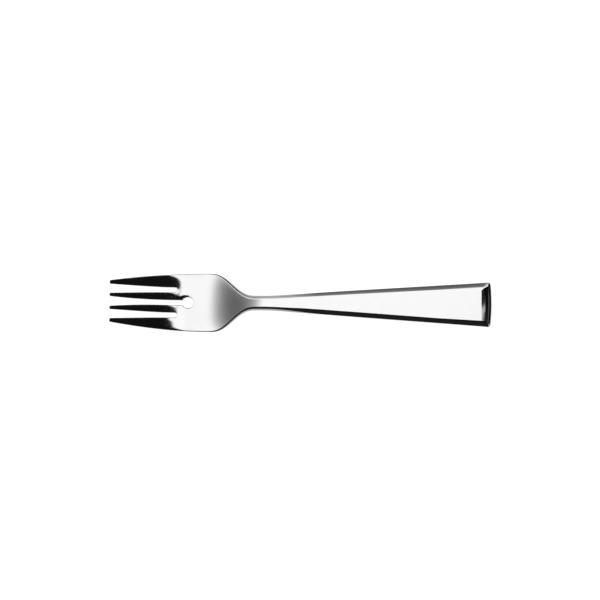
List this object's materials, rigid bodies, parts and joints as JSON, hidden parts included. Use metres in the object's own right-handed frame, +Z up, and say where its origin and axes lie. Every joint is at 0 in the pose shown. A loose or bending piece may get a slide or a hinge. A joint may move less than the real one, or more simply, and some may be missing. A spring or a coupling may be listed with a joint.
{
  "type": "fish fork",
  "caption": "Polished steel fish fork with tapering tines, a keyhole between them, a slim neck and a wedge-shaped hollow handle with bevelled sides.",
  "frame": {"origin": "bottom centre of the fork's box as it lies face up on a table, on the underside of its head and the end of its handle", "axes": "+X along the fork from the tines to the handle's end, +Y across it, +Z up from the table towards the front side"},
  "size_m": [0.18, 0.0274, 0.0075],
  "materials": {
    "head_steel": "mirror-polished stainless steel",
    "handle_steel": "mirror-polished stainless steel",
    "handle_cement": "dull grey resin cement, out of sight inside the handle"
  },
  "bodies": {
    "root": {"fork_head": "head_steel", "handle_upper_shell": "handle_steel", "handle_lower_shell": "handle_steel", "handle_core": "handle_cement"}
  },
  "joints": []
}
